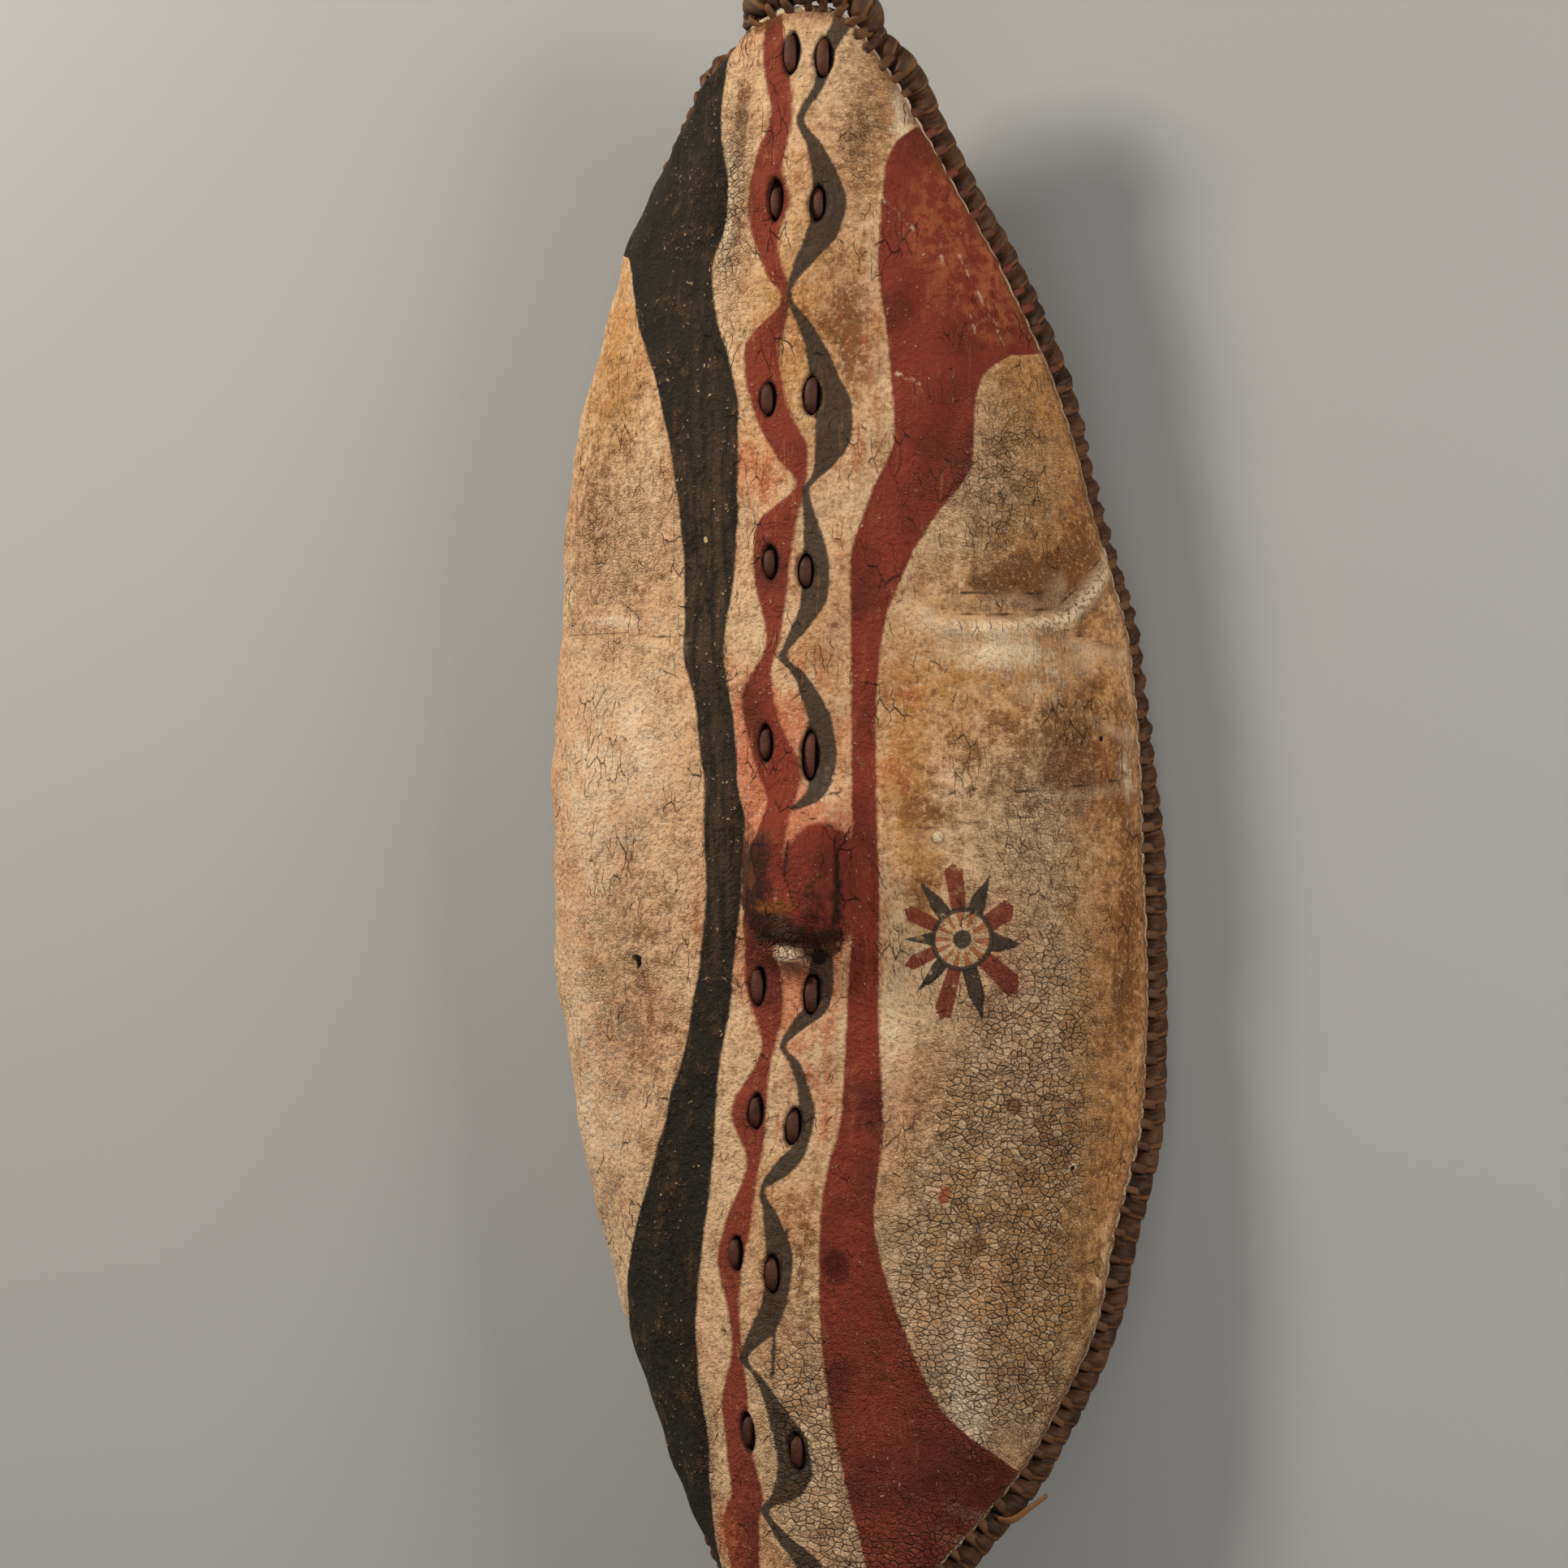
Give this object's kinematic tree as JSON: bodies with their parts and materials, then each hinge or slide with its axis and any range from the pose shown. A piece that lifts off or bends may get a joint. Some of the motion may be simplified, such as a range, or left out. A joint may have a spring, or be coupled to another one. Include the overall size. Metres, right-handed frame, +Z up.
{
  "type": "hide shield",
  "caption": "Pointed-oval painted rawhide shield, hollow behind, with a laced wooden stave, a raised hand boss and a leather-wound roll round the edge.",
  "frame": {"origin": "under the middle of the whole shield, on the surface it lies on", "axes": "+X across the shield, +Y along the stave towards the top tip, +Z up out of the painted face"},
  "size_m": [0.4276, 1.1188, 0.1834],
  "materials": {
    "rawhide": "dry painted rawhide, crackled, matt",
    "roll_leather": "dark worn leather, low sheen",
    "thong_leather": "red-brown thong, satin",
    "stave_wood": "bare hand-cut wood, matt"
  },
  "bodies": {
    "root": {"hide": "rawhide", "edge_binding": "roll_leather", "stave": "stave_wood", "lashing_01": "thong_leather", "lashing_02": "thong_leather", "lashing_03": "thong_leather", "lashing_04": "thong_leather", "lashing_05": "thong_leather", "lashing_06": "thong_leather", "lashing_07": "thong_leather", "lashing_08": "thong_leather", "lashing_09": "thong_leather", "lashing_10": "thong_leather"}
  },
  "joints": []
}
